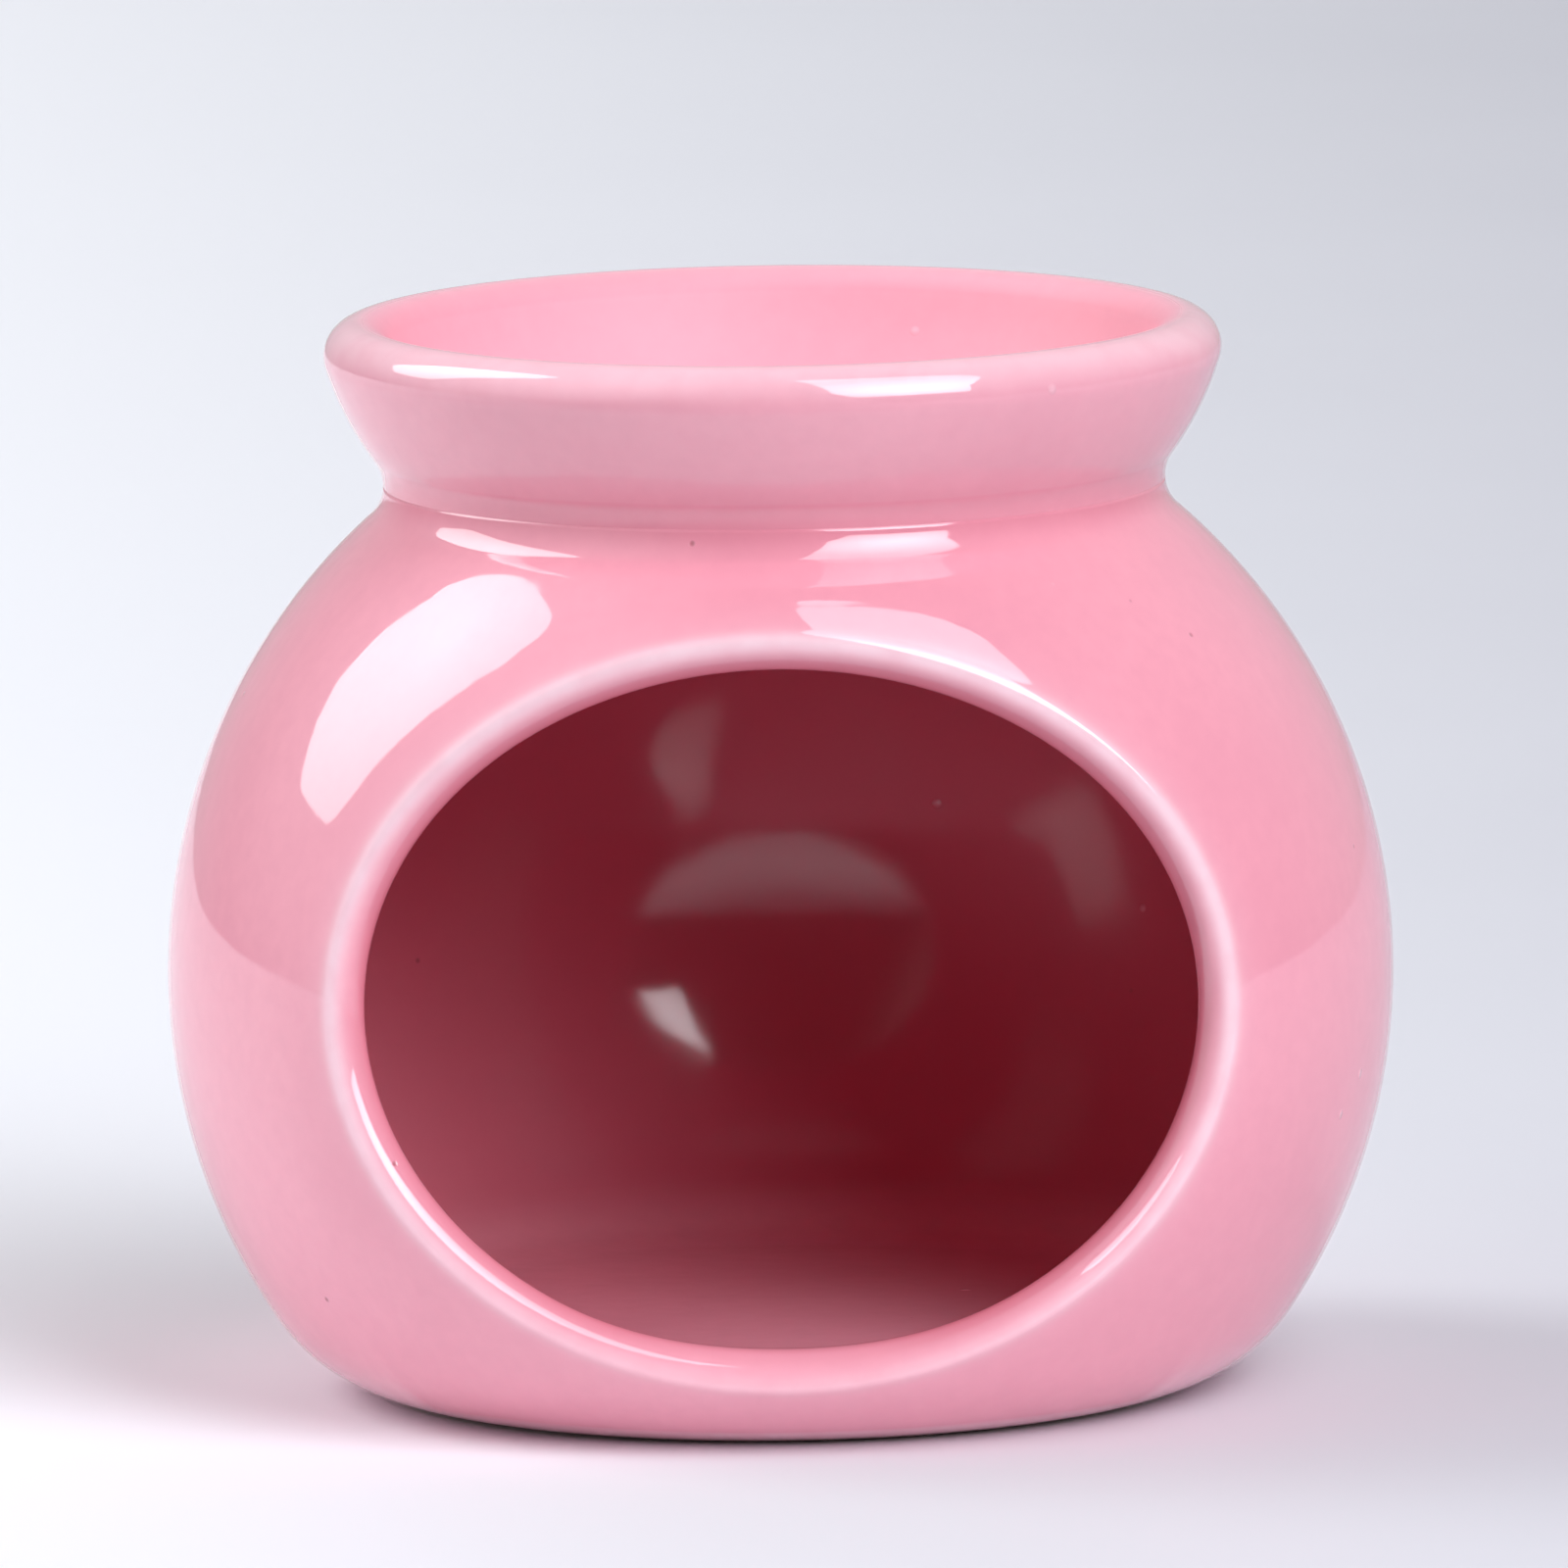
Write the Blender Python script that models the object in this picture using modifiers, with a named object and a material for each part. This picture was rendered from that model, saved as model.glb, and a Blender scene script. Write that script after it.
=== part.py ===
"""Ceramic wax burner: a ball-shaped tealight pot with a big window, and the wax dish seated in its neck.

Metres, +Z up. The origin is the centre of the flat base, on the turning axis of both castings, and the
window faces -Y. The pot is slip-cast, so its wall has one thickness all round, and only its floor is thicker.
"""

from math import atan2, cos, pi, radians, sin, sqrt

import bmesh
import bpy
from mathutils import Vector

MM = 0.001

# The pot: a hollow ball cut flat at the base, with a thick floor and a round corner outside and inside.
BALL_RADIUS = 42.5 * MM
BALL_CENTRE_Z = 28.9 * MM
POT_WALL = 3.3 * MM
POT_FLOOR = 5.9 * MM
BASE_CORNER_RADIUS = 11.8 * MM
FLOOR_CORNER_RADIUS = 8.0 * MM

# The dish: a flat floor, one big rounded side that leans outwards, and a thick, full round lip. The side's
# two faces have centres of their own, so that the wall thins from the lip to the floor.
LIP_CENTRE_RADIUS = 28.7 * MM
LIP_CENTRE_Z = 72.15 * MM
LIP_RADIUS = 2.4 * MM
LIP_LEAN = radians(17.4)  # how far the side leans out where it meets the lip
DISH_OUTSIDE_RADIUS = 22.2 * MM
DISH_INSIDE_RADIUS = 19.0 * MM

# The joint: the dish nests in the pot's open neck, where both were luted together before firing.
JOINT_GAP = 0.3 * MM
NECK_FILLET_RADIUS = 3.1 * MM

# The window: an oval cut square through the ball's wall. Its half-widths and the height of its middle are
# shares of the radius, measured from the ball's centre, so the oval is the same at every depth of the wall.
WINDOW_HALF_WIDTH = 0.717
WINDOW_HALF_HEIGHT = 0.590
WINDOW_MIDDLE = 0.0385
WINDOW_OUTER_ROUND = 1.7 * MM
WINDOW_INNER_ROUND = 1.0 * MM
CUTTER_START = 30.0 * MM  # from the ball's centre
CUTTER_END = 75.0 * MM
CUTTER_CLEARANCE = 0.1 * MM  # how far the rounded edges run past the wall's two faces

TURN_STEPS = 60
WINDOW_STEPS = 60
SMOOTH_BELOW = radians(35)

PINK_GLAZE = (0.86, 0.40, 0.50, 1.0)
GLAZE_ROUGHNESS = 0.12


def clear_scene():
    for old in list(bpy.data.objects):
        bpy.data.objects.remove(old, do_unlink=True)


def new_collection(name):
    collection = bpy.data.collections.new(name)
    bpy.context.scene.collection.children.link(collection)
    return collection


def glaze(name):
    material = bpy.data.materials.new(name)
    material.use_nodes = True
    shader = material.node_tree.nodes["Principled BSDF"]
    shader.inputs["Base Color"].default_value = PINK_GLAZE
    shader.inputs["Roughness"].default_value = GLAZE_ROUGHNESS
    shader.inputs["Metallic"].default_value = 0.0
    return material


def arc(centre, radius, start, end, steps):
    """Points (r, z) on a circle, from one angle to another, where 0 points away from the turning axis."""
    turns = [start + (end - start) * i / steps for i in range(steps + 1)]
    return [(centre[0] + radius * cos(a), centre[1] + radius * sin(a)) for a in turns]


def angle_of(point, centre):
    return atan2(point[1] - centre[1], point[0] - centre[0])


def touching_circle(centre_a, distance_a, centre_b, distance_b):
    """The outer of the two points at the given distances from two centres."""
    a, b = Vector(centre_a), Vector(centre_b)
    apart = (b - a).length
    along = (distance_a**2 - distance_b**2 + apart**2) / (2 * apart)
    across = sqrt(distance_a**2 - along**2)
    direction = (b - a) / apart
    sideways = Vector((direction.y, -direction.x))
    return tuple(a + direction * along + sideways * across)


def turned(name, profile, collection, material):
    """A solid of revolution, from a closed loop of points (r, z) that starts and ends on the axis."""
    mesh = bpy.data.meshes.new(name)
    points = [(r, 0.0, z) for r, z in profile]
    mesh.from_pydata(points, [(i, i + 1) for i in range(len(points) - 1)], [])
    piece = bpy.data.objects.new(name, mesh)
    collection.objects.link(piece)
    screw = piece.modifiers.new("Turn", "SCREW")
    screw.angle = 2 * pi
    screw.steps = TURN_STEPS
    screw.render_steps = TURN_STEPS
    screw.use_merge_vertices = True
    screw.merge_threshold = 0.00001
    screw.use_smooth_shade = True
    mesh.materials.append(material)
    return piece


def side_centre(from_lip):
    """The centre of a side that meets the lip smoothly, at the given distance from the lip's own centre."""
    return (LIP_CENTRE_RADIUS - from_lip * cos(LIP_LEAN), LIP_CENTRE_Z + from_lip * sin(LIP_LEAN))


OUTSIDE_CENTRE = side_centre(DISH_OUTSIDE_RADIUS - LIP_RADIUS)
INSIDE_CENTRE = side_centre(DISH_INSIDE_RADIUS + LIP_RADIUS)


def dish_profile():
    lip = (LIP_CENTRE_RADIUS, LIP_CENTRE_Z)
    inside = arc(INSIDE_CENTRE, DISH_INSIDE_RADIUS, -pi / 2, -LIP_LEAN, 8)
    lip_inner = arc(lip, LIP_RADIUS, pi - LIP_LEAN, pi / 2, 4)
    lip_outer = arc(lip, LIP_RADIUS, pi / 2, -LIP_LEAN, 4)
    outside = arc(OUTSIDE_CENTRE, DISH_OUTSIDE_RADIUS, -LIP_LEAN, -pi / 2, 9)
    floor_top = (0.0, inside[0][1])
    floor_under = (0.0, outside[-1][1])
    return [floor_top, *inside, *lip_inner[1:], *lip_outer[1:], *outside[1:], floor_under]


def corner_centre(ball_radius, floor_z, corner_radius):
    """The centre of a round corner that a level floor and the ball above it both meet smoothly."""
    z = floor_z + corner_radius
    return (sqrt((ball_radius - corner_radius) ** 2 - (BALL_CENTRE_Z - z) ** 2), z)


def pot_profile():
    ball = (0.0, BALL_CENTRE_Z)
    dish = OUTSIDE_CENTRE
    seat_radius = DISH_OUTSIDE_RADIUS + JOINT_GAP
    inner_radius = BALL_RADIUS - POT_WALL

    base_corner = corner_centre(BALL_RADIUS, 0, BASE_CORNER_RADIUS)
    base_turn = angle_of(base_corner, ball)
    floor_corner = corner_centre(inner_radius, POT_FLOOR, FLOOR_CORNER_RADIUS)
    floor_turn = angle_of(floor_corner, ball)

    fillet = touching_circle(
        ball, BALL_RADIUS + NECK_FILLET_RADIUS, dish, DISH_OUTSIDE_RADIUS + NECK_FILLET_RADIUS
    )
    fillet_turn = angle_of(fillet, ball)
    seat_rim_reach = sqrt(seat_radius**2 - (fillet[1] - dish[1]) ** 2)
    seat_outer = angle_of((dish[0] + seat_rim_reach, fillet[1]), dish)
    seat_inner_point = touching_circle(ball, inner_radius, dish, seat_radius)
    seat_inner = angle_of(seat_inner_point, dish)
    inner_turn = angle_of(seat_inner_point, ball)

    seat = arc(dish, seat_radius, seat_inner, seat_outer, 3)
    neck = arc(fillet, NECK_FILLET_RADIUS, pi, pi + fillet_turn, 4)
    shoulder = arc(ball, BALL_RADIUS, fillet_turn, 0, 11)
    belly = arc(ball, BALL_RADIUS, 0, base_turn, 8)
    outer_corner = arc(base_corner, BASE_CORNER_RADIUS, base_turn, -pi / 2, 5)
    inner_corner = arc(floor_corner, FLOOR_CORNER_RADIUS, -pi / 2, floor_turn, 5)
    inside = arc(ball, inner_radius, floor_turn, inner_turn, 16)
    base_middle = (0.0, outer_corner[-1][1])
    floor_middle = (0.0, inner_corner[0][1])
    return [
        floor_middle,
        *inner_corner,
        *inside[1:-1],
        *seat,
        *neck,
        *shoulder[1:],
        *belly[1:],
        *outer_corner[1:],
        base_middle,
    ]


def window_ring(distance, extra):
    """The window's oval at one distance from the ball's centre, made wider all round by a share of it."""
    ring = []
    for i in range(WINDOW_STEPS):
        turn = 2 * pi * i / WINDOW_STEPS
        x = (WINDOW_HALF_WIDTH + extra) * cos(turn)
        z = WINDOW_MIDDLE + (WINDOW_HALF_HEIGHT + extra) * sin(turn)
        y = -sqrt(1 - x * x - z * z)
        ring.append(Vector((x, y, z)) * distance + Vector((0, 0, BALL_CENTRE_Z)))
    return ring


def window_depths():
    """The cutter's ovals: straight through the wall, and flared in a quarter circle at its two faces."""
    inner_radius = BALL_RADIUS - POT_WALL
    inner_edge = []
    outer_edge = []
    for turn in (0, pi / 6, pi / 3, pi / 2):
        past = CUTTER_CLEARANCE if turn == pi / 2 else 0
        depth = 1 - sin(turn)
        widening = 1 - cos(turn)
        inner_edge.append(
            (inner_radius + WINDOW_INNER_ROUND * depth - past, WINDOW_INNER_ROUND * widening / inner_radius)
        )
        outer_edge.append(
            (BALL_RADIUS - WINDOW_OUTER_ROUND * depth + past, WINDOW_OUTER_ROUND * widening / BALL_RADIUS)
        )
    start = (CUTTER_START, inner_edge[-1][1])
    end = (CUTTER_END, outer_edge[-1][1])
    return [start, *reversed(inner_edge), *outer_edge, end]


def window_cutter(collection):
    shape = bmesh.new()
    rings = [[shape.verts.new(p) for p in window_ring(*depth)] for depth in window_depths()]
    for near, far in zip(rings, rings[1:]):
        for i in range(WINDOW_STEPS):
            after = (i + 1) % WINDOW_STEPS
            shape.faces.new((near[i], near[after], far[after], far[i]))
    ends = [shape.faces.new(rings[0]), shape.faces.new(rings[-1])]
    bmesh.ops.triangulate(shape, faces=ends)
    bmesh.ops.recalc_face_normals(shape, faces=shape.faces)
    mesh = bpy.data.meshes.new("window_cutter")
    shape.to_mesh(mesh)
    shape.free()
    cutter = bpy.data.objects.new("window_cutter", mesh)
    collection.objects.link(cutter)
    cutter.display_type = "WIRE"
    cutter.hide_render = True
    return cutter


def cut(piece, cutter):
    boolean = piece.modifiers.new("Window", "BOOLEAN")
    boolean.operation = "DIFFERENCE"
    boolean.solver = "EXACT"
    boolean.object = cutter


def finish(piece):
    """The piece's modifiers made real, and its round faces shaded smooth."""
    graph = bpy.context.evaluated_depsgraph_get()
    mesh = bpy.data.meshes.new_from_object(piece.evaluated_get(graph))
    piece.modifiers.clear()
    piece.data = mesh
    mesh.shade_smooth()
    mesh.set_sharp_from_angle(angle=SMOOTH_BELOW)


def main():
    clear_scene()
    burner = new_collection("ceramic_wax_burner")
    cutters = new_collection("cutters")
    pot = turned("chamber_pot", pot_profile(), burner, glaze("pot_glaze"))
    dish = turned("wax_dish", dish_profile(), burner, glaze("dish_glaze"))
    cut(pot, window_cutter(cutters))
    finish(pot)
    finish(dish)


main()
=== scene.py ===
"""Looks of the ceramic wax burner: a glazed pot with its window, and the glazed wax dish luted into its neck.

Both castings are rebuilt here as fine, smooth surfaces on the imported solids' sizes.
Metres, +Z up, window to -Y.
"""

from math import atan2, cos, hypot, pi, radians, sin, sqrt

import bmesh
import bpy
import numpy as np
from mathutils import Matrix, Vector


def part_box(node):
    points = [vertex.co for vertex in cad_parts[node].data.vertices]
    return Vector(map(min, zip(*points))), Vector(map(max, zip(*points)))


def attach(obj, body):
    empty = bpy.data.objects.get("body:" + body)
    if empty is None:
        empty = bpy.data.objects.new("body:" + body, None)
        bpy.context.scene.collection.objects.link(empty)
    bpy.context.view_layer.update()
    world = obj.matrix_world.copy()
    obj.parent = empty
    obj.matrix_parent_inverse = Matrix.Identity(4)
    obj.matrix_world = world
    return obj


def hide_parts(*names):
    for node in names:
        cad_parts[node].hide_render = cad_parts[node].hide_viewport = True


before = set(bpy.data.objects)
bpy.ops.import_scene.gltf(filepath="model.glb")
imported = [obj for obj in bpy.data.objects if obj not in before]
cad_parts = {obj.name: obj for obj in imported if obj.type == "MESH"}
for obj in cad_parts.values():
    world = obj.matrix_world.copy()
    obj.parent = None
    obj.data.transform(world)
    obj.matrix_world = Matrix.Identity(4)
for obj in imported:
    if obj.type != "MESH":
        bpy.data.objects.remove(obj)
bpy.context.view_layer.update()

MM = 0.001

# ---------------------------------------------------------------- sizes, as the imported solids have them
pot_low, pot_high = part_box("chamber_pot")
dish_low, dish_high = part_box("wax_dish")

BALL_RADIUS = pot_high.x
BALL_CENTRE = (0.0, 28.9 * MM)  # (r, z)
POT_WALL = 3.3 * MM
POT_FLOOR = 5.9 * MM
BASE_CORNER_RADIUS = 11.8 * MM
FLOOR_CORNER_RADIUS = 8.0 * MM

LIP_RADIUS = 2.4 * MM
LIP_LEAN = radians(17.4)
LIP_CENTRE = (dish_high.x - LIP_RADIUS, dish_high.z - LIP_RADIUS)
DISH_OUTSIDE = 22.2 * MM
DISH_INSIDE = 19.0 * MM

NECK_FILLET = 3.1 * MM
CHAMBER_FILLET = 2.0 * MM

WINDOW_HALF_WIDTH = 0.717  # shares of the ball's radius
WINDOW_HALF_HEIGHT = 0.590
WINDOW_MIDDLE = 0.0385
WINDOW_OUTER_ROUND = 1.7 * MM
WINDOW_INNER_ROUND = 1.0 * MM

TURN_STEPS = 240
SMOOTH_BELOW = radians(60)


# ---------------------------------------------------------------- profile helpers
def arc(centre, radius, start, end, steps):
    turns = np.linspace(start, end, steps + 1)
    return [(centre[0] + radius * cos(a), centre[1] + radius * sin(a)) for a in turns]


def angle_of(point, centre):
    return atan2(point[1] - centre[1], point[0] - centre[0])


def touching(centre_a, distance_a, centre_b, distance_b):
    """The outer of the two points at the given distances from two centres."""
    ax, az = centre_a
    dx, dz = centre_b[0] - ax, centre_b[1] - az
    apart = hypot(dx, dz)
    along = (distance_a**2 - distance_b**2 + apart**2) / (2 * apart)
    across = sqrt(distance_a**2 - along**2)
    return (ax + (dx * along + dz * across) / apart, az + (dz * along - dx * across) / apart)


def side_centre(from_lip):
    """The centre of a dish side that meets the lip smoothly, at a distance from the lip's own centre."""
    return (LIP_CENTRE[0] - from_lip * cos(LIP_LEAN), LIP_CENTRE[1] + from_lip * sin(LIP_LEAN))


OUTSIDE_CENTRE = side_centre(DISH_OUTSIDE - LIP_RADIUS)
INSIDE_CENTRE = side_centre(DISH_INSIDE + LIP_RADIUS)


def corner_centre(ball_radius, floor_z, corner_radius):
    """The centre of a round corner that a level floor and the ball above it both meet smoothly."""
    z = floor_z + corner_radius
    return (sqrt((ball_radius - corner_radius) ** 2 - (BALL_CENTRE[1] - z) ** 2), z)


# The pot's round corners, and the fillets that join the two castings outside and inside the neck.
BALL_MIDDLE = np.array([0.0, 0.0, BALL_CENTRE[1]])
INNER_BALL = BALL_RADIUS - POT_WALL
BASE_CORNER = corner_centre(BALL_RADIUS, 0.0, BASE_CORNER_RADIUS)
FLOOR_CORNER = corner_centre(INNER_BALL, POT_FLOOR, FLOOR_CORNER_RADIUS)
NECK = touching(BALL_CENTRE, BALL_RADIUS + NECK_FILLET, OUTSIDE_CENTRE, DISH_OUTSIDE + NECK_FILLET)
NECK_TURN = angle_of(NECK, BALL_CENTRE)
CHAMBER = touching(BALL_CENTRE, INNER_BALL - CHAMBER_FILLET, OUTSIDE_CENTRE, DISH_OUTSIDE + CHAMBER_FILLET)
CHAMBER_TURN = angle_of(CHAMBER, BALL_CENTRE)
CHAMBER_TO_DISH = angle_of(OUTSIDE_CENTRE, CHAMBER)
CHAMBER_SEAM = (CHAMBER_TURN + CHAMBER_TO_DISH) / 2
SEAT_OUTER = angle_of(
    (OUTSIDE_CENTRE[0] + sqrt(DISH_OUTSIDE**2 - (NECK[1] - OUTSIDE_CENTRE[1]) ** 2), NECK[1]), OUTSIDE_CENTRE
)
SEAT_INNER = angle_of(arc(CHAMBER, CHAMBER_FILLET, CHAMBER_SEAM, CHAMBER_SEAM, 1)[0], OUTSIDE_CENTRE)


def shell_radius(elevation, ball_radius, corner, corner_radius):
    """Distance from the ball's centre to a ball with a round corner under it, in the given directions."""
    elevation = np.asarray(elevation, float)
    qx, qz = corner[0], corner[1] - BALL_CENTRE[1]
    along = np.cos(elevation) * qx + np.sin(elevation) * qz
    inside = along**2 - (qx * qx + qz * qz) + corner_radius**2
    rounded = along + np.sqrt(np.maximum(inside, 0.0))
    return np.where(elevation < angle_of(corner, BALL_CENTRE), rounded, ball_radius)


def outer_radius(elevation):
    return shell_radius(elevation, BALL_RADIUS, BASE_CORNER, BASE_CORNER_RADIUS)


INSIDE_BLEND = radians(4)  # the glaze softens the lines where the floor, its corner and the ball meet


def inner_radius(elevation):
    """The chamber's own profile, averaged over the blend's width."""
    floor_turn = angle_of((FLOOR_CORNER[0], POT_FLOOR), BALL_CENTRE)
    total = 0.0
    shifts = np.linspace(-INSIDE_BLEND, INSIDE_BLEND, 9)
    for shift in shifts:
        e = np.asarray(elevation, float) + shift
        walls = shell_radius(e, INNER_BALL, FLOOR_CORNER, FLOOR_CORNER_RADIUS)
        level = (POT_FLOOR - BALL_CENTRE[1]) / np.minimum(np.sin(e), -0.1)  # only used well below level
        total = total + np.where(e < floor_turn, level, walls)
    return total / len(shifts)


# ---------------------------------------------------------------- mesh building
MASKS = ("thin_glaze", "deep_glaze", "dull_glaze", "bare_clay", "glaze_bead")


class Builder:
    """Collects points, faces and one value per point for each mask."""

    def __init__(self):
        self.points = []
        self.faces = []
        self.masks = {name: [] for name in MASKS}
        self.count = 0

    def add(self, points, **masks):
        points = np.asarray(points, float).reshape(-1, 3)
        start = self.count
        self.count += len(points)
        self.points.append(points)
        for name in MASKS:
            self.masks[name].append(np.broadcast_to(masks.get(name, 0.0), (len(points),)))
        return np.arange(start, self.count)

    def bridge(self, a, b):
        count = len(a)
        for i in range(count):
            j = (i + 1) % count
            self.faces.append((a[i], a[j], b[j], b[i]))

    def fan(self, ring, middle):
        count = len(ring)
        for i in range(count):
            self.faces.append((ring[i], ring[(i + 1) % count], middle))


def ring_points(r, z):
    """A level ring; its first point is at the back, so that the window's block isn't split."""
    turns = 2 * pi * np.arange(TURN_STEPS) / TURN_STEPS
    return np.stack([-r * np.sin(turns), r * np.cos(turns), np.full(TURN_STEPS, z)], 1)


def make_object(name, builder):
    """The collected mesh as a piece, without the points that the window's hole leaves over."""
    mesh = bpy.data.meshes.new(name)
    mesh.from_pydata(np.concatenate(builder.points).tolist(), [], builder.faces)
    for mask, values in builder.masks.items():
        stored = mesh.attributes.new(mask, "FLOAT", "POINT")
        stored.data.foreach_set("value", np.concatenate(values).astype(np.float32))
    work = bmesh.new()
    work.from_mesh(mesh)
    loose = [v for v in work.verts if not v.link_faces]
    bmesh.ops.delete(work, geom=loose, context="VERTS")
    bmesh.ops.recalc_face_normals(work, faces=work.faces)
    work.to_mesh(mesh)
    work.free()
    mesh.shade_smooth()
    mesh.set_sharp_from_angle(angle=SMOOTH_BELOW)
    piece = bpy.data.objects.new(name, mesh)
    bpy.context.scene.collection.objects.link(piece)
    return piece


def bump_shape(distance, width):
    """1 at no distance, falling smoothly to 0 over about the given width."""
    return np.exp(-((np.asarray(distance) / width) ** 2))


# ---------------------------------------------------------------- the pot
def unit(vectors):
    return vectors / np.linalg.norm(vectors, axis=-1, keepdims=True)


def turn_of(directions):
    """Where unit directions from the ball's centre lie round the window's oval: 0 is right, pi/2 is up."""
    up = (directions[..., 2] - WINDOW_MIDDLE) / WINDOW_HALF_HEIGHT
    return np.arctan2(up, directions[..., 0] / WINDOW_HALF_WIDTH)


SMALL_TURN = 0.0001


def outline(turn):
    """The window's oval: unit directions from the ball's centre, along it, and out of it square to both."""

    def at(t):
        x = WINDOW_HALF_WIDTH * np.cos(t)
        z = WINDOW_MIDDLE + WINDOW_HALF_HEIGHT * np.sin(t)
        return np.stack([x, -np.sqrt(1 - x * x - z * z), z], -1)

    here = at(turn)
    along = unit(at(turn + SMALL_TURN) - at(turn - SMALL_TURN))
    away = unit(np.cross(here, along))
    middle = np.array([0.0, -1.0, WINDOW_MIDDLE])
    flip = np.sum(away * (here - middle), axis=-1, keepdims=True) < 0
    return here, along, np.where(flip, -away, away)


def on_shell(directions, depth):
    """Points at a depth under the pot's outside; the whole wall's depth always lies on its inside."""
    directions = unit(directions)
    elevation = np.arcsin(directions[..., 2])
    outer, inner = outer_radius(elevation), inner_radius(elevation)
    distance = outer + (inner - outer) * (depth / POT_WALL)
    return directions * distance[..., None] + BALL_MIDDLE


# The block of the level rings that the window's own rings replace.
BLOCK_TOP = radians(46)
BLOCK_BOTTOM = radians(-44)
BLOCK_BOTTOM_INSIDE = radians(-38.6)  # above the chamber's level floor
BLOCK_SIDE = radians(54)
BLOCK_ROWS = 64
BLOCK_STEPS = 12
BLOCK_CROWDING = 1.6  # the window's rings crowd towards its edge by this power

FLOOR_ROWS = 15
FLOOR_MIDDLE_ROW = radians(-84)
BASE_SHARES = (0.96, 0.9, 0.75, 0.5, 0.25)  # rings of the flat base, as shares of its radius
FOOT_HEIGHT = 0.25 * MM  # the bottom of the pot is wiped clean of glaze up to here


def pot_rows():
    """Level rings of the pot as (r, z): from the neck's seam down the outside, over the base, up inside.

    With them come the places in that list where the outer block, the chamber and the inner block start.
    """

    def by_elevation(radius_at, turns):
        return [(d * cos(e), BALL_CENTRE[1] + d * sin(e)) for d, e in zip(radius_at(turns), turns)]

    outer_block = by_elevation(outer_radius, np.linspace(BLOCK_TOP, BLOCK_BOTTOM, BLOCK_ROWS))
    inner_block = by_elevation(inner_radius, np.linspace(BLOCK_TOP, BLOCK_BOTTOM_INSIDE, BLOCK_ROWS))
    foot_turn = -pi / 2 + sqrt(2 * FOOT_HEIGHT / BASE_CORNER_RADIUS)

    rows = arc(NECK, NECK_FILLET, pi, pi + NECK_TURN, 10)
    rows += arc(BALL_CENTRE, BALL_RADIUS, NECK_TURN, BLOCK_TOP, 4)[1:-1]
    block_at = len(rows)
    rows += outer_block
    rows += arc(BASE_CORNER, BASE_CORNER_RADIUS, angle_of(outer_block[-1], BASE_CORNER), foot_turn, 7)[1:]
    rows += arc(BASE_CORNER, BASE_CORNER_RADIUS, foot_turn, -pi / 2, 4)[1:]
    rows += [(BASE_CORNER[0] * s, 0.0) for s in BASE_SHARES]
    base_at = len(rows)
    rows += by_elevation(inner_radius, np.linspace(FLOOR_MIDDLE_ROW, BLOCK_BOTTOM_INSIDE, FLOOR_ROWS))[:-1]
    inner_at = len(rows)
    rows += inner_block[::-1]
    rows += arc(BALL_CENTRE, INNER_BALL, BLOCK_TOP, CHAMBER_TURN, 3)[1:]
    rows += arc(CHAMBER, CHAMBER_FILLET, CHAMBER_TURN, CHAMBER_SEAM, 4)[1:]
    rows += arc(OUTSIDE_CENTRE, DISH_OUTSIDE, SEAT_INNER, SEAT_OUTER, 4)[1:]
    return rows, block_at, base_at, inner_at


FLOOR_DULLNESS = 0.12
ON_FLOOR = 2.0 * MM  # how far above the floor painted light takes off the chamber's painted shade, and then its dull glaze
NEAR_FLOOR = 6.0 * MM
# Painted light low on the chamber's left: how much of the painted shade it takes off, at what height and how
# far it reaches.
LEFT_PAINTED_LIGHT = 0.6
LEFT_HEIGHT = 14 * MM
LEFT_REACH = 18 * MM


def chamber_masks(points, shade_amount=1.0):
    """Painted shade darkens the chamber; on its floor and low on its left, painted light lifts it where light
    falls in through the window.
    """
    points = np.asarray(points, float).reshape(-1, 3)
    height = points[:, 2]
    on_floor = bump_shape(height - POT_FLOOR, ON_FLOOR)
    near_floor = bump_shape(height - POT_FLOOR, NEAR_FLOOR)
    low_left = np.clip(-points[:, 0] / INNER_BALL, 0, 1) * bump_shape(height - LEFT_HEIGHT, LEFT_REACH)
    return {
        "deep_glaze": shade_amount * (1 - on_floor) * (1 - LEFT_PAINTED_LIGHT * low_left),
        "dull_glaze": FLOOR_DULLNESS * near_floor,
    }


def neck_hollow_shade(z):
    """Painted shade: the hollow of the neck is darker."""
    return 0.3 * float(bump_shape(z - NECK[1], 1.6 * MM))


def outside_masks(z):
    """The masks of a level ring of the pot's outside, painted paler towards its foot as painted light from
    the floor's bounce.
    """
    return {
        "deep_glaze": neck_hollow_shade(z),
        "thin_glaze": 0.55 * bump_shape(z, 3.0 * MM),
        "bare_clay": 0.0 if z > FOOT_HEIGHT * 1.01 else 1.0,
    }


WINDOW_CREST = radians(58) * WINDOW_OUTER_ROUND  # where the glaze breaks palest, along the rounding
CREST_WIDTH = 0.7 * MM
HALO_WIDTH = 2.0 * MM
FAR_FROM_CREST = 5 * MM
EDGE_DROP = 0.10 * MM  # the wall's outside falls away this much where it meets the rounded edge
EDGE_DROP_WIDTH = 1.3 * MM
CUT_INSIDE = (0.45, 0.7)  # how much of the chamber's painted shade the two ends of the straight cut have

# Low on its right, the window's edge has a thin bead where the glaze ran, which leans over to the light.
BEAD_START = (radians(-52), radians(-44))  # along the oval
BEAD_END = (radians(-27), radians(-20))
BEAD_MIDDLE = radians(62)  # across the rounded edge
BEAD_WIDTH = radians(8.5)
BEAD_LEAN = (0.38, 0.68)  # at its two ends


def crest_shape(distance):
    """How far the glaze breaks at a distance from the crest: a pale line in a faint, wide halo."""
    return 0.85 * bump_shape(distance, CREST_WIDTH) + 0.15 * bump_shape(distance, HALO_WIDTH)


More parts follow.
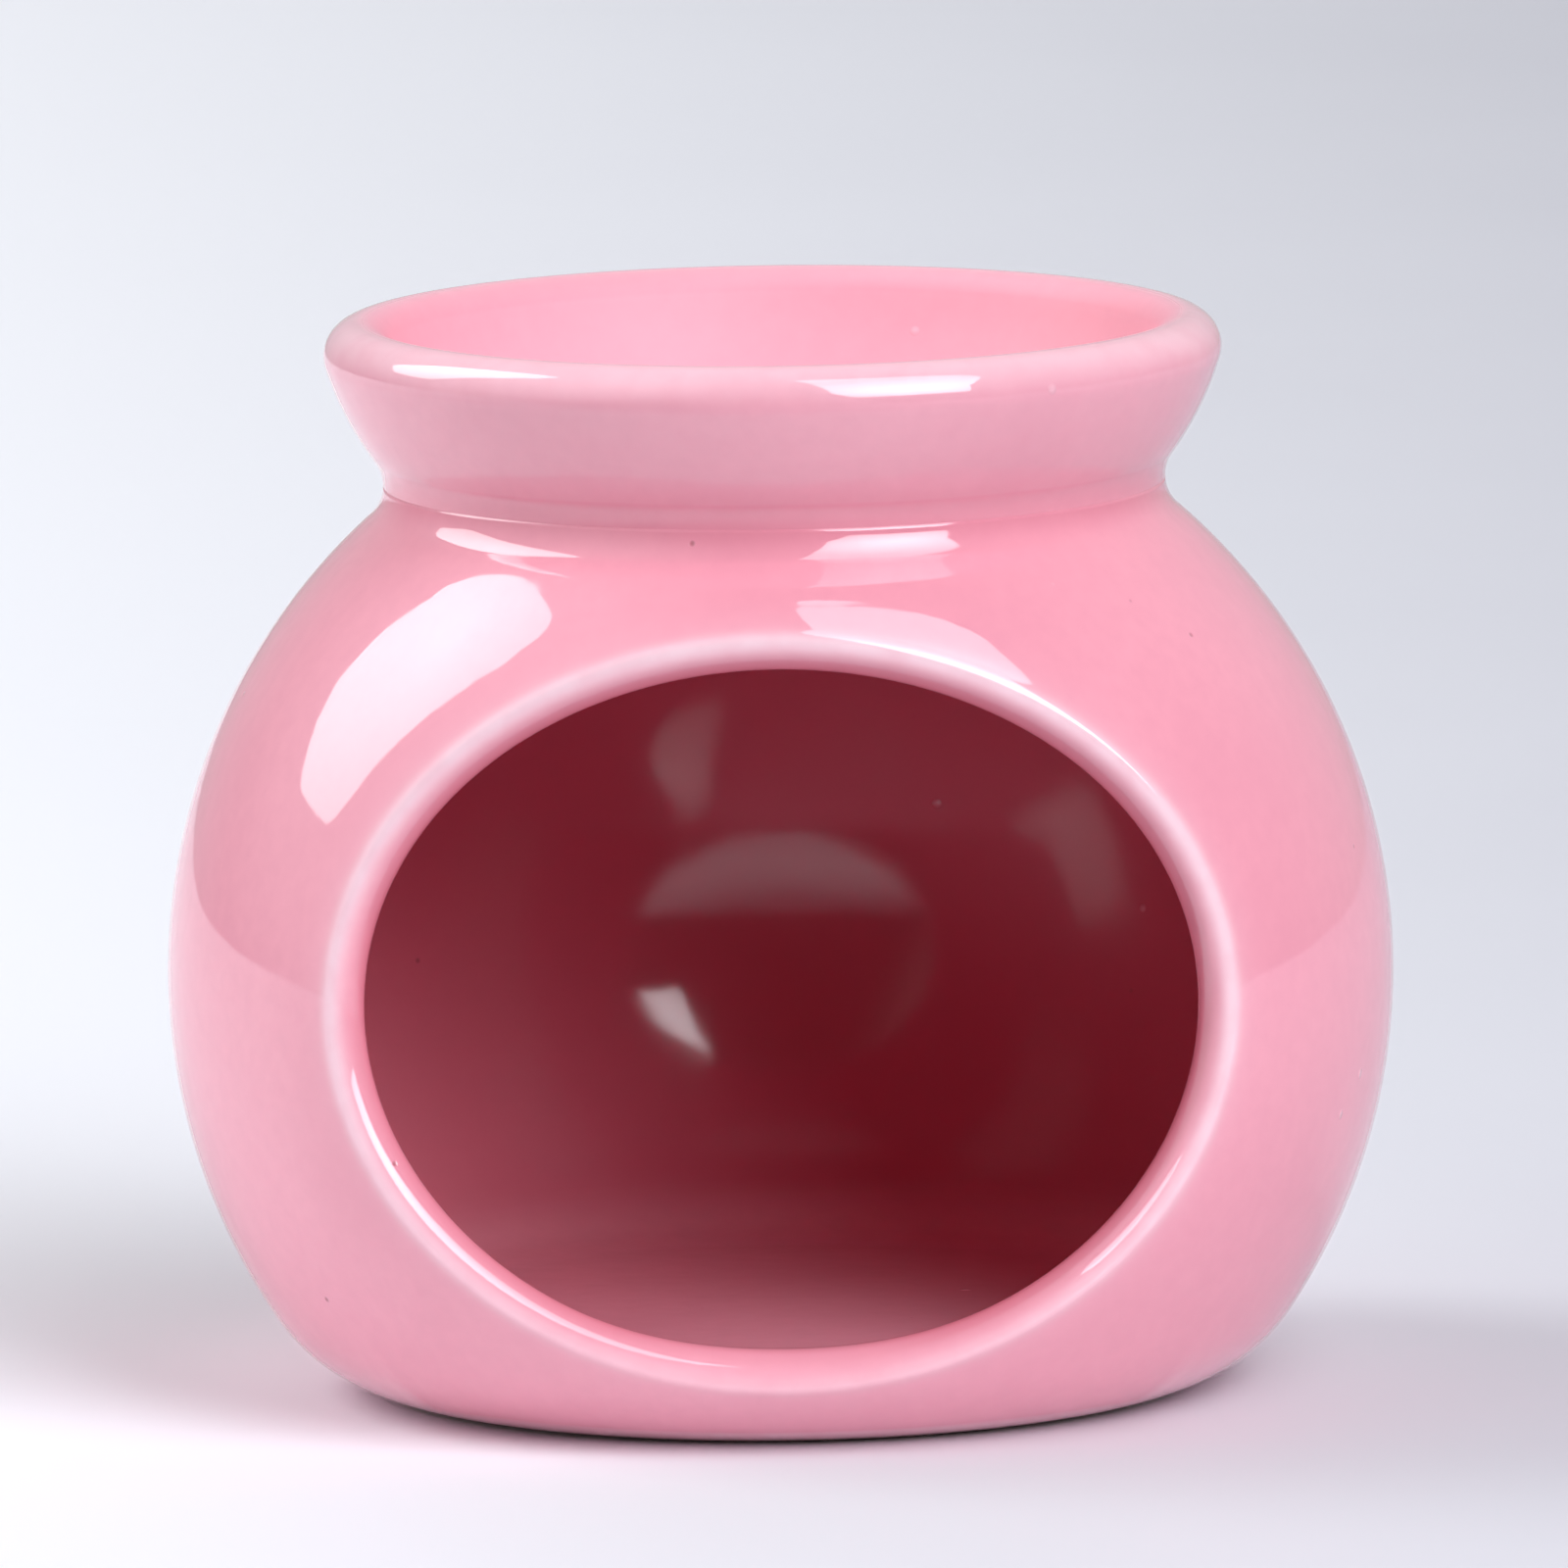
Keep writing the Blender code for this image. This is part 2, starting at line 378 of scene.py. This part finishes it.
def crest_strength(turn):
    """Painted light and shade on the pale glaze break: a little stronger where the edge faces up, much weaker
    where it faces the floor of the window.
    """
    up = np.sin(turn)
    return 0.82 + 0.08 * up - 0.38 * np.maximum(-up, 0) ** 2


def window_section():
    """Across the window's cut edge, from outside to inside.

    Each row is (widening, depth, distance from the crest, share of the chamber's painted shade, share of the
    bead).
    """
    section = []
    for a in np.linspace(0, pi / 2, 13)[1:]:
        from_crest = abs(a * WINDOW_OUTER_ROUND - (pi / 2 * WINDOW_OUTER_ROUND - WINDOW_CREST))
        inside = CUT_INSIDE[0] * max(0.0, a / (pi / 2) - 0.5) * 2
        widening = WINDOW_OUTER_ROUND * (1 - sin(a))
        on_bead = float(bump_shape(a - BEAD_MIDDLE, BEAD_WIDTH))
        section.append((widening, WINDOW_OUTER_ROUND * (1 - cos(a)), from_crest, inside, on_bead))
    straight = POT_WALL - WINDOW_OUTER_ROUND - WINDOW_INNER_ROUND
    for s in (0.5, 1.0):
        inside = CUT_INSIDE[0] + (CUT_INSIDE[1] - CUT_INSIDE[0]) * s
        section.append((0.0, WINDOW_OUTER_ROUND + straight * s, WINDOW_CREST + straight * s, inside, 0.0))
    for a in np.linspace(0, pi / 2, 9)[1:]:
        widening = WINDOW_INNER_ROUND * (1 - cos(a))
        depth = POT_WALL - WINDOW_INNER_ROUND * (1 - sin(a))
        inside = CUT_INSIDE[1] + (1 - CUT_INSIDE[1]) * a / (pi / 2)
        section.append((widening, depth, FAR_FROM_CREST, inside, 0.0))
    return section


def smooth_step(value, low, high):
    """0 below low, 1 above high, and a smooth rise between them."""
    share = np.clip((value - low) / (high - low), 0.0, 1.0)
    return share * share * (3 - 2 * share)


def lean_bead(mesh):
    """Leans the surface's shading along the oval where the bead lies, and leaves the rest of it alone."""
    points = np.array([v.co for v in mesh.vertices])
    normals = np.array([v.normal for v in mesh.vertices])
    bead = np.array([value.value for value in mesh.attributes["glaze_bead"].data])[:, None]
    turn = turn_of(unit(points - BALL_MIDDLE))
    lean = np.interp(turn, (BEAD_START[0], BEAD_END[1]), BEAD_LEAN)[:, None]
    leaned = np.where(bead > 0.001, unit(normals + outline(turn)[1] * bead * lean), 0.0)
    mesh.normals_split_custom_set_from_vertices(leaned.tolist())


def add_level_rings(mesh):
    """Adds the pot's wall with a hole in both its faces, and returns the loops round the two holes."""
    rows, block_at, base_at, inner_at = pot_rows()
    rings = []
    for i, (r, z) in enumerate(rows):
        ring = ring_points(r, z)
        masks = outside_masks(z) if i < base_at else chamber_masks(ring)
        rings.append(mesh.add(ring, **masks))
    half = TURN_STEPS // 2
    reach = round(BLOCK_SIDE / (2 * pi) * TURN_STEPS)
    columns = range(half - reach, half + reach + 1)
    hole = set(columns[:-1])
    first, last = 1, BLOCK_ROWS - 2
    outer_rows = range(block_at + first, block_at + last)
    inner_rows = range(inner_at + BLOCK_ROWS - 1 - last, inner_at + BLOCK_ROWS - 1 - first)
    for i in range(len(rows)):
        if i + 1 == base_at:
            continue
        a, b = rings[i], rings[(i + 1) % len(rows)]
        opened = i in outer_rows or i in inner_rows
        for j in range(TURN_STEPS):
            if not (opened and j in hole):
                k = (j + 1) % TURN_STEPS
                mesh.faces.append((a[j], a[k], b[k], b[j]))
    mesh.fan(rings[base_at - 1], mesh.add([(0, 0, 0)], bare_clay=1.0)[0])
    floor_middle = (0, 0, BALL_CENTRE[1] - float(inner_radius(-pi / 2)))
    mesh.fan(rings[base_at], mesh.add([floor_middle], dull_glaze=FLOOR_DULLNESS)[0])

    def loop(row_of):
        """The points around the hole in the level rings, once round."""
        path = [(row_of(first), j) for j in columns[:-1]]
        path += [(row_of(i), columns[-1]) for i in range(first, last)]
        path += [(row_of(last), j) for j in reversed(columns[1:])]
        path += [(row_of(i), columns[0]) for i in range(last, first, -1)]
        return [rings[i][j] for i, j in path]

    return loop(lambda i: block_at + i), loop(lambda i: inner_at + BLOCK_ROWS - 1 - i)


def add_window(mesh, outer_loop, inner_loop):
    """Adds the window's own rings: up to its edge outside, through the wall, and away from it inside."""
    every = np.concatenate(mesh.points)
    outer_dir = unit(every[outer_loop] - BALL_MIDDLE)
    inner_dir = unit(every[inner_loop] - BALL_MIDDLE)
    turn = turn_of(outer_dir)
    strength = crest_strength(turn)
    bead = smooth_step(turn, *BEAD_START) * (1 - smooth_step(turn, *BEAD_END))
    edge, _, away = outline(turn)
    previous = outer_loop

    def widened(width, at_radius):
        return unit(edge + away * (width / at_radius))

    def next_ring(points, **masks):
        nonlocal previous
        ring = mesh.add(points, **masks)
        mesh.bridge(previous, ring)
        previous = ring

    target = widened(WINDOW_OUTER_ROUND, BALL_RADIUS)
    for s in np.linspace(0, 1, BLOCK_STEPS + 1)[1:]:
        s = 1 - (1 - s) ** BLOCK_CROWDING
        way = outer_dir * (1 - s) + target * s
        gap = np.linalg.norm(on_shell(way, 0.0) - on_shell(target, 0.0), axis=1)
        crest = gap + pi / 2 * WINDOW_OUTER_ROUND - WINDOW_CREST
        points = on_shell(way, EDGE_DROP * np.exp(-gap / EDGE_DROP_WIDTH))
        next_ring(points, thin_glaze=strength * crest_shape(crest))
    for width, depth, from_crest, inside, on_bead in window_section():
        points = on_shell(widened(width, BALL_RADIUS - depth), max(depth, EDGE_DROP))
        thin = strength * crest_shape(from_crest)
        shade_amount = chamber_masks(points, inside)["deep_glaze"]
        next_ring(points, thin_glaze=thin, deep_glaze=shade_amount, glaze_bead=on_bead * bead)
    target = widened(WINDOW_INNER_ROUND, INNER_BALL)
    for s in np.linspace(0, 1, BLOCK_STEPS + 1)[1:-1]:
        s = s**BLOCK_CROWDING
        points = on_shell(target * (1 - s) + inner_dir * s, POT_WALL)
        next_ring(points, **chamber_masks(points))
    mesh.bridge(previous, inner_loop)


def make_pot():
    mesh = Builder()
    add_window(mesh, *add_level_rings(mesh))
    pot = make_object("pot_glazed", mesh)
    lean_bead(pot.data)
    return pot


# ---------------------------------------------------------------- the dish
LIP_CREST = radians(55)  # where the glaze is thinnest on the lip
LIP_CREST_WIDTH = radians(50)
DULL_FROM = radians(80)  # the dish's inside is dull, and its glaze turns glossy over this much of the lip
DULL_TO = radians(130)
FLOOR_SHARES = (0.25, 0.5, 0.75)  # rings of the flat floor, as shares of its radius
DISH_INSIDE_MASKS = {"dull_glaze": 1.0, "thin_glaze": 0.06}


def dish_rows():
    """Level rings of the dish as (r, z, masks): from its floor over the lip and down to its underside."""
    inside_floor = INSIDE_CENTRE[1] - DISH_INSIDE
    under_floor = OUTSIDE_CENTRE[1] - DISH_OUTSIDE
    rows = []

    def extend(points, **masks):
        rows.extend((r, z, masks) for r, z in points)

    extend([(INSIDE_CENTRE[0] * s, inside_floor) for s in FLOOR_SHARES], **DISH_INSIDE_MASKS)
    extend(arc(INSIDE_CENTRE, DISH_INSIDE, -pi / 2, -LIP_LEAN, 28), **DISH_INSIDE_MASKS)
    for t in np.linspace(pi - LIP_LEAN, -LIP_LEAN, 25)[1:-1]:
        thin = 0.5 * float(bump_shape(t - LIP_CREST, LIP_CREST_WIDTH))
        dull = min(1.0, max(0.0, (t - DULL_FROM) / (DULL_TO - DULL_FROM)))
        extend(arc(LIP_CENTRE, LIP_RADIUS, t, t, 1)[:1], thin_glaze=thin, dull_glaze=dull)
    for r, z in arc(OUTSIDE_CENTRE, DISH_OUTSIDE, -LIP_LEAN, angle_of(NECK, OUTSIDE_CENTRE), 20):
        extend([(r, z)], deep_glaze=neck_hollow_shade(z), thin_glaze=0.12)
    for r, z in arc(NECK, NECK_FILLET, angle_of(OUTSIDE_CENTRE, NECK), pi, 8)[1:]:
        extend([(r, z)], deep_glaze=neck_hollow_shade(z))
    # Painted shade: the dish's seat and its underside, inside the chamber, are deep pink.
    extend(arc(OUTSIDE_CENTRE, DISH_OUTSIDE, SEAT_OUTER, SEAT_INNER, 4), deep_glaze=1.0)
    extend(arc(CHAMBER, CHAMBER_FILLET, CHAMBER_SEAM, CHAMBER_TO_DISH, 4)[1:], deep_glaze=1.0)
    chamber_end = angle_of(CHAMBER, OUTSIDE_CENTRE)
    extend(arc(OUTSIDE_CENTRE, DISH_OUTSIDE, chamber_end, -pi / 2, 14)[1:], deep_glaze=1.0)
    extend([(OUTSIDE_CENTRE[0] * s, under_floor) for s in reversed(FLOOR_SHARES)], deep_glaze=1.0)
    return rows, inside_floor, under_floor


def make_dish():
    rows, inside_floor, under_floor = dish_rows()
    mesh = Builder()
    rings = [mesh.add(ring_points(r, z), **masks) for r, z, masks in rows]
    for a, b in zip(rings, rings[1:]):
        mesh.bridge(a, b)
    mesh.fan(rings[0], mesh.add([(0, 0, inside_floor)], **DISH_INSIDE_MASKS)[0])
    mesh.fan(rings[-1], mesh.add([(0, 0, under_floor)], deep_glaze=1.0)[0])
    return make_object("dish_glazed", mesh)


# ---------------------------------------------------------------- materials
PINK = (0.88, 0.36, 0.45, 1.0)
DARKER_PINK = (0.81, 0.32, 0.41, 1.0)
THIN_PINK = (0.97, 0.72, 0.79, 1.0)  # where the glaze breaks over an edge, and painted light at the foot and high on the window's edge
SHADE_PINK = (0.62, 0.125, 0.185, 1.0)  # painted shade: the deep pink of the dark chamber, the window's cut, the dish's seat and the neck's hollow
PINHOLE = (0.42, 0.13, 0.16, 1.0)
# The nubs' colour: partly their own pale glaze, partly a painted highlight.
NUB = (0.90, 0.50, 0.58, 1.0)
CLAY = (0.70, 0.52, 0.43, 1.0)
GLAZE_IOR = 1.7


class Nodes:
    """A material's node tree, with short calls for the nodes used here."""

    def __init__(self, name):
        self.material = bpy.data.materials.new(name)
        self.material.use_nodes = True
        self.tree = self.material.node_tree
        self.shader = self.tree.nodes["Principled BSDF"]

    def put(self, socket, value):
        """Gives a socket a link, if the value is another node's socket, or else the plain value."""
        if isinstance(value, bpy.types.NodeSocket):
            self.tree.links.new(value, socket)
        else:
            socket.default_value = value

    def attribute(self, name):
        node = self.tree.nodes.new("ShaderNodeAttribute")
        node.attribute_name = name
        return node.outputs["Fac"]

    def place(self, shift=(0.0, 0.0, 0.0)):
        """The point on the piece, in metres, moved by a shift so that two patterns differ."""
        coordinates = self.tree.nodes.new("ShaderNodeTexCoord")
        mapping = self.tree.nodes.new("ShaderNodeMapping")
        mapping.inputs["Location"].default_value = shift
        self.tree.links.new(coordinates.outputs["Object"], mapping.inputs["Vector"])
        return mapping.outputs["Vector"]

    def noise(self, size, detail=2.0, shift=(0.0, 0.0, 0.0)):
        node = self.tree.nodes.new("ShaderNodeTexNoise")
        self.put(node.inputs["Vector"], self.place(shift))
        node.inputs["Scale"].default_value = 1 / size
        node.inputs["Detail"].default_value = detail
        return node.outputs["Fac"]

    def spots(self, spacing, radius, share, shift):
        """1 in small round spots, in the given share of the cells of a random pattern."""
        node = self.tree.nodes.new("ShaderNodeTexVoronoi")
        self.put(node.inputs["Vector"], self.place(shift))
        node.inputs["Scale"].default_value = 1 / spacing
        colour = self.tree.nodes.new("ShaderNodeSeparateColor")
        self.put(colour.inputs["Color"], node.outputs["Color"])
        near = self.between(node.outputs["Distance"], radius / spacing, 0.4 * radius / spacing)
        chosen = self.math("GREATER_THAN", colour.outputs["Red"], 1 - share)
        return self.math("MULTIPLY", near, chosen)

    def between(self, value, low, high, to_low=0.0, to_high=1.0):
        node = self.tree.nodes.new("ShaderNodeMapRange")
        self.put(node.inputs["Value"], value)
        node.inputs["From Min"].default_value = low
        node.inputs["From Max"].default_value = high
        node.inputs["To Min"].default_value = to_low
        node.inputs["To Max"].default_value = to_high
        return node.outputs["Result"]

    def math(self, operation, a, b):
        node = self.tree.nodes.new("ShaderNodeMath")
        node.operation = operation
        self.put(node.inputs[0], a)
        self.put(node.inputs[1], b)
        return node.outputs["Value"]

    def mix(self, factor, a, b):
        node = self.tree.nodes.new("ShaderNodeMix")
        node.data_type = "RGBA"
        self.put(node.inputs["Factor"], factor)
        self.put(node.inputs["A"], a)
        self.put(node.inputs["B"], b)
        return node.outputs["Result"]

    def bump(self, height, distance, normal=None):
        node = self.tree.nodes.new("ShaderNodeBump")
        node.inputs["Strength"].default_value = 1.0
        node.inputs["Distance"].default_value = distance
        self.put(node.inputs["Height"], height)
        if normal is not None:
            self.put(node.inputs["Normal"], normal)
        return node.outputs["Normal"]


def glaze_material():
    glaze = Nodes("pink_glaze")
    thin = glaze.attribute("thin_glaze")
    shade_amount = glaze.attribute("deep_glaze")
    dull = glaze.attribute("dull_glaze")
    bare = glaze.attribute("bare_clay")

    cloud = glaze.between(glaze.noise(14 * MM, 2.0), 0.35, 0.65)
    mottle = glaze.between(glaze.noise(1.3 * MM, 4.0), 0.3, 0.7)
    pinholes = glaze.spots(5 * MM, 0.26 * MM, 0.35, (0.1, 0.2, 0.3))
    nubs = glaze.spots(7 * MM, 0.42 * MM, 0.5, (0.4, 0.1, 0.7))

    colour = glaze.mix(glaze.math("MULTIPLY", cloud, 0.5), PINK, DARKER_PINK)
    colour = glaze.mix(glaze.math("MULTIPLY", mottle, 0.4), colour, DARKER_PINK)
    # Painted shade: deep pink in the chamber, the window's cut, the dish's seat and the neck's hollow.
    colour = glaze.mix(shade_amount, colour, SHADE_PINK)
    # The pale glaze break over edges; the same mask carries painted light at the foot, and painted light and
    # shade along the window's edge.
    ragged = glaze.between(glaze.noise(2.5 * MM, 2.0), 0.3, 0.6, 0.8, 1.0)
    colour = glaze.mix(glaze.math("MULTIPLY", thin, ragged), colour, THIN_PINK)
    # Nubs painted paler: partly their own pale glaze, partly a painted highlight.
    colour = glaze.mix(glaze.math("MULTIPLY", nubs, 0.7), colour, NUB)
    colour = glaze.mix(glaze.math("MULTIPLY", pinholes, 0.8), colour, PINHOLE)
    colour = glaze.mix(bare, colour, CLAY)
    glaze.put(glaze.shader.inputs["Base Color"], colour)

    gloss = glaze.between(glaze.noise(6 * MM, 3.0, (0.3, 0.3, 0.0)), 0.3, 0.7, 0.035, 0.065)
    roughness = glaze.math("ADD", gloss, glaze.math("MULTIPLY", dull, 0.6))
    roughness = glaze.math("ADD", roughness, glaze.math("MULTIPLY", shade_amount, 0.06))
    roughness = glaze.math("ADD", roughness, glaze.math("MULTIPLY", bare, 0.7))
    glaze.put(glaze.shader.inputs["Roughness"], roughness)
    glaze.shader.inputs["IOR"].default_value = GLAZE_IOR

    waves = glaze.bump(glaze.noise(11 * MM, 0.0, (0.0, 0.6, 0.2)), 0.04 * MM)
    peel = glaze.bump(glaze.noise(2.6 * MM, 1.0, (0.5, 0.0, 0.1)), 0.012 * MM, waves)
    raised = glaze.bump(glaze.math("SUBTRACT", nubs, pinholes), 0.06 * MM, peel)
    glaze.put(glaze.shader.inputs["Normal"], raised)
    return glaze.material


# ---------------------------------------------------------------- stage, light and camera
def direction(azimuth, elevation):
    """Azimuth 0 is towards the viewer, -Y, and 90 is +X."""
    a, e = radians(azimuth), radians(elevation)
    return Vector((sin(a) * cos(e), -cos(a) * cos(e), sin(e)))


FLOOR_RADIUS = 0.66
FLOOR_MIDDLE_Y = 0.30
# Painted light and shade on the floor: it is paler to the left, darker to the right and dark towards its
# front.
FLOOR_LEFT = (0.93, 0.955, 1.0, 1)
FLOOR_RIGHT = (0.58, 0.59, 0.645, 1)
FLOOR_FRONT = (0.25, 0.22, 0.26, 1)
FLOOR_SIDE = 0.09  # its colour turns from left to right between this far to either side
FLOOR_DIMS_FROM = -0.095 - FLOOR_MIDDLE_Y  # from its own middle: painted shade darkens it towards the room's dark front
FLOOR_DIMS_TO = -0.22 - FLOOR_MIDDLE_Y


def floor_material():
    paper = Nodes("floor_painted_light_and_shade")
    tone = paper.between(paper.noise(90 * MM, 2.0), 0.3, 0.7, 0.97, 1.03)
    split = paper.tree.nodes.new("ShaderNodeSeparateXYZ")
    paper.put(split.inputs["Vector"], paper.place())
    to_right = paper.between(split.outputs["X"], -FLOOR_SIDE, FLOOR_SIDE)
    colour = paper.mix(paper.math("MULTIPLY", to_right, tone), FLOOR_LEFT, FLOOR_RIGHT)
    far_front = paper.between(split.outputs["Y"], FLOOR_DIMS_FROM, FLOOR_DIMS_TO)
    colour = paper.mix(far_front, colour, FLOOR_FRONT)
    paper.put(paper.shader.inputs["Base Color"], colour)
    paper.shader.inputs["Roughness"].default_value = 0.6
    return paper.material


def glowing_material(name, colour, strength):
    glow = Nodes(name)
    glow.shader.inputs["Base Color"].default_value = (0, 0, 0, 1)
    glow.shader.inputs["Specular IOR Level"].default_value = 0.0
    glow.shader.inputs["Emission Color"].default_value = colour
    glow.shader.inputs["Emission Strength"].default_value = strength
    return glow


def fade_from(glow, middle, radius, at_middle, at_edge):
    """Makes a glow strongest at one point and weaker around it."""
    apart = glow.tree.nodes.new("ShaderNodeVectorMath")
    apart.operation = "DISTANCE"
    glow.put(apart.inputs[0], glow.place())
    apart.inputs[1].default_value = middle
    strength = glow.between(apart.outputs["Value"], 0.0, radius, at_middle, at_edge)
    glow.put(glow.shader.inputs["Emission Strength"], strength)


LIGHT_DISTANCE = 3.0
LIGHT_FADE = 0.6 * LIGHT_DISTANCE  # how far from its hot spot a softbox fades


def softbox(name, corners, hot_spot, at_middle, at_edge, rounding=0.05, colour=(1, 1, 1, 1)):
    """A flat glowing panel whose corners lie in the given (azimuth, elevation) directions from the ball."""
    rays = [direction(*corner) for corner in corners]
    away = sum(rays, Vector()).normalized()

    def on_panel(ray):
        return Vector(BALL_MIDDLE) + ray * (LIGHT_DISTANCE / ray.dot(away))

    work = bmesh.new()
    work.faces.new([work.verts.new(on_panel(ray)) for ray in rays])
    offset = rounding * LIGHT_DISTANCE
    bmesh.ops.bevel(work, geom=work.verts[:], offset=offset, segments=5, affect="VERTICES", profile=0.5)
    mesh = bpy.data.meshes.new(name)
    work.to_mesh(mesh)
    work.free()
    glow = glowing_material(name, colour, at_middle)
    fade_from(glow, on_panel(direction(*hot_spot)), LIGHT_FADE, at_middle, at_edge)
    mesh.materials.append(glow.material)
    panel = bpy.data.objects.new(name, mesh)
    panel.visible_camera = False
    bpy.context.scene.collection.objects.link(panel)


def make_floor():
    """White table; it ends not far in front of the burner, and goes on behind it past the picture's top."""
    middle = (0, FLOOR_MIDDLE_Y, 0)
    bpy.ops.mesh.primitive_circle_add(vertices=128, radius=FLOOR_RADIUS, fill_type="NGON", location=middle)
    floor = bpy.context.object
    floor.name = "floor"
    floor.data.materials.append(floor_material())


BACKDROP_RADIUS = 3.9
BACKDROP_COLOUR = (0.76, 0.75, 0.78, 1)


def make_backdrop():
    """A pale dome that only the camera sees, so that the room stays dark for the light."""
    bpy.ops.mesh.primitive_uv_sphere_add(segments=48, ring_count=24, radius=BACKDROP_RADIUS)
    dome = bpy.context.object
    dome.name = "backdrop"
    dome.data.materials.append(glowing_material("backdrop_pale", BACKDROP_COLOUR, 1.0).material)
    for ray in ("diffuse", "glossy", "transmission", "shadow", "volume_scatter"):
        setattr(dome, "visible_" + ray, False)


ROOM_DARK = 0.02
ROOM_COLOUR = (1, 0.99, 1.02, 1)
ROOM_GLOWS = (  # what it is, azimuth and elevation of its middle, degrees from there to its edge, radiance
    ("left wall", -80, 25, 60, 0.92),
    ("back", 180, 20, 75, 0.5),
    ("right wall", 120, 20, 50, 0.1),
)


def make_room():
    """A room that is dark in front of the burner and above it, and paler to its left, right and back."""
    world = bpy.data.worlds.new("room")
    bpy.context.scene.world = world
    world.use_nodes = True
    nodes, links = world.node_tree.nodes, world.node_tree.links
    place = nodes.new("ShaderNodeTexCoord")
    total = None
    for name, azimuth, elevation, spread, radiance in ROOM_GLOWS:
        dot = nodes.new("ShaderNodeVectorMath")
        dot.operation = "DOT_PRODUCT"
        dot.inputs[1].default_value = direction(azimuth, elevation)
        links.new(place.outputs["Generated"], dot.inputs[0])
        glow = nodes.new("ShaderNodeMapRange")
        glow.label = name
        glow.interpolation_type = "SMOOTHSTEP"
        glow.inputs["From Min"].default_value = cos(radians(spread))
        glow.inputs["From Max"].default_value = 1.0
        glow.inputs["To Max"].default_value = radiance
        links.new(dot.outputs["Value"], glow.inputs["Value"])
        if total is None:
            total = glow.outputs["Result"]
        else:
            add = nodes.new("ShaderNodeMath")
            links.new(total, add.inputs[0])
            links.new(glow.outputs["Result"], add.inputs[1])
            total = add.outputs["Value"]
    add = nodes.new("ShaderNodeMath")
    add.inputs[1].default_value = ROOM_DARK
    links.new(total, add.inputs[0])
    links.new(add.outputs["Value"], nodes["Background"].inputs["Strength"])
    nodes["Background"].inputs["Color"].default_value = ROOM_COLOUR


CAMERA_DISTANCE = 2.0
CAMERA_ELEVATION = 8.06
CAMERA_PIVOT = Vector((0, 0, 36.6 * MM))
CAMERA_AIM = Vector((0.4 * MM, 0, 41.8 * MM))
CAMERA_ROLL = -0.77
LENS = 662.4


def make_camera():
    data = bpy.data.cameras.new("camera")
    data.lens = LENS
    data.sensor_width = 36
    data.clip_start = 0.05
    data.clip_end = 50
    camera = bpy.data.objects.new("camera", data)
    camera.location = direction(0, CAMERA_ELEVATION) * CAMERA_DISTANCE + CAMERA_PIVOT
    look = (CAMERA_AIM - camera.location).normalized()
    camera.rotation_mode = "QUATERNION"
    roll = Matrix.Rotation(radians(CAMERA_ROLL), 3, "Z").to_quaternion()
    camera.rotation_quaternion = look.to_track_quat("-Z", "Y") @ roll
    bpy.context.scene.collection.objects.link(camera)
    bpy.context.scene.camera = camera


# Each softbox: its corners and its hot spot as (azimuth, elevation), and its radiance there and at its edge.
LEFT_CORNERS = [
    (-126, 25), (-126, 43), (-121, 50), (-108, 57), (-90, 58),
    (-87, 49), (-93, 36), (-99, 22), (-102, 16), (-117, 16),
]
LEFT_HOT_SPOT = (-108, 42)
LEFT_LIGHT = (6.4, 3.4)
RIGHT_CORNERS = [
    (21.6, 11.6), (16, 26), (13, 77), (40, 75.5), (60, 71),
    (74, 64), (76, 57), (72, 49), (55, 28), (52, 11),
]
RIGHT_HOT_SPOT = (38, 30)
RIGHT_LIGHT = (9.3, 3.3)
RIGHT_COLOUR = (1.0, 1.0, 1.04, 1)


def make_lights():
    softbox("left_softbox", LEFT_CORNERS, LEFT_HOT_SPOT, *LEFT_LIGHT)
    softbox("right_softbox", RIGHT_CORNERS, RIGHT_HOT_SPOT, *RIGHT_LIGHT, rounding=0.035, colour=RIGHT_COLOUR)


# ---------------------------------------------------------------- the scene
make_camera()
make_floor()
make_backdrop()
make_room()
make_lights()
bpy.context.scene.view_settings.view_transform = "Standard"
bpy.context.scene.cycles.max_bounces = 8
bpy.context.scene.cycles.diffuse_bounces = 7

glaze = glaze_material()
pot = make_pot()
pot.data.materials.append(glaze)
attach(pot, "root")
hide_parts("chamber_pot")

dish = make_dish()
dish.data.materials.append(glaze)
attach(dish, "root")
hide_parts("wax_dish")
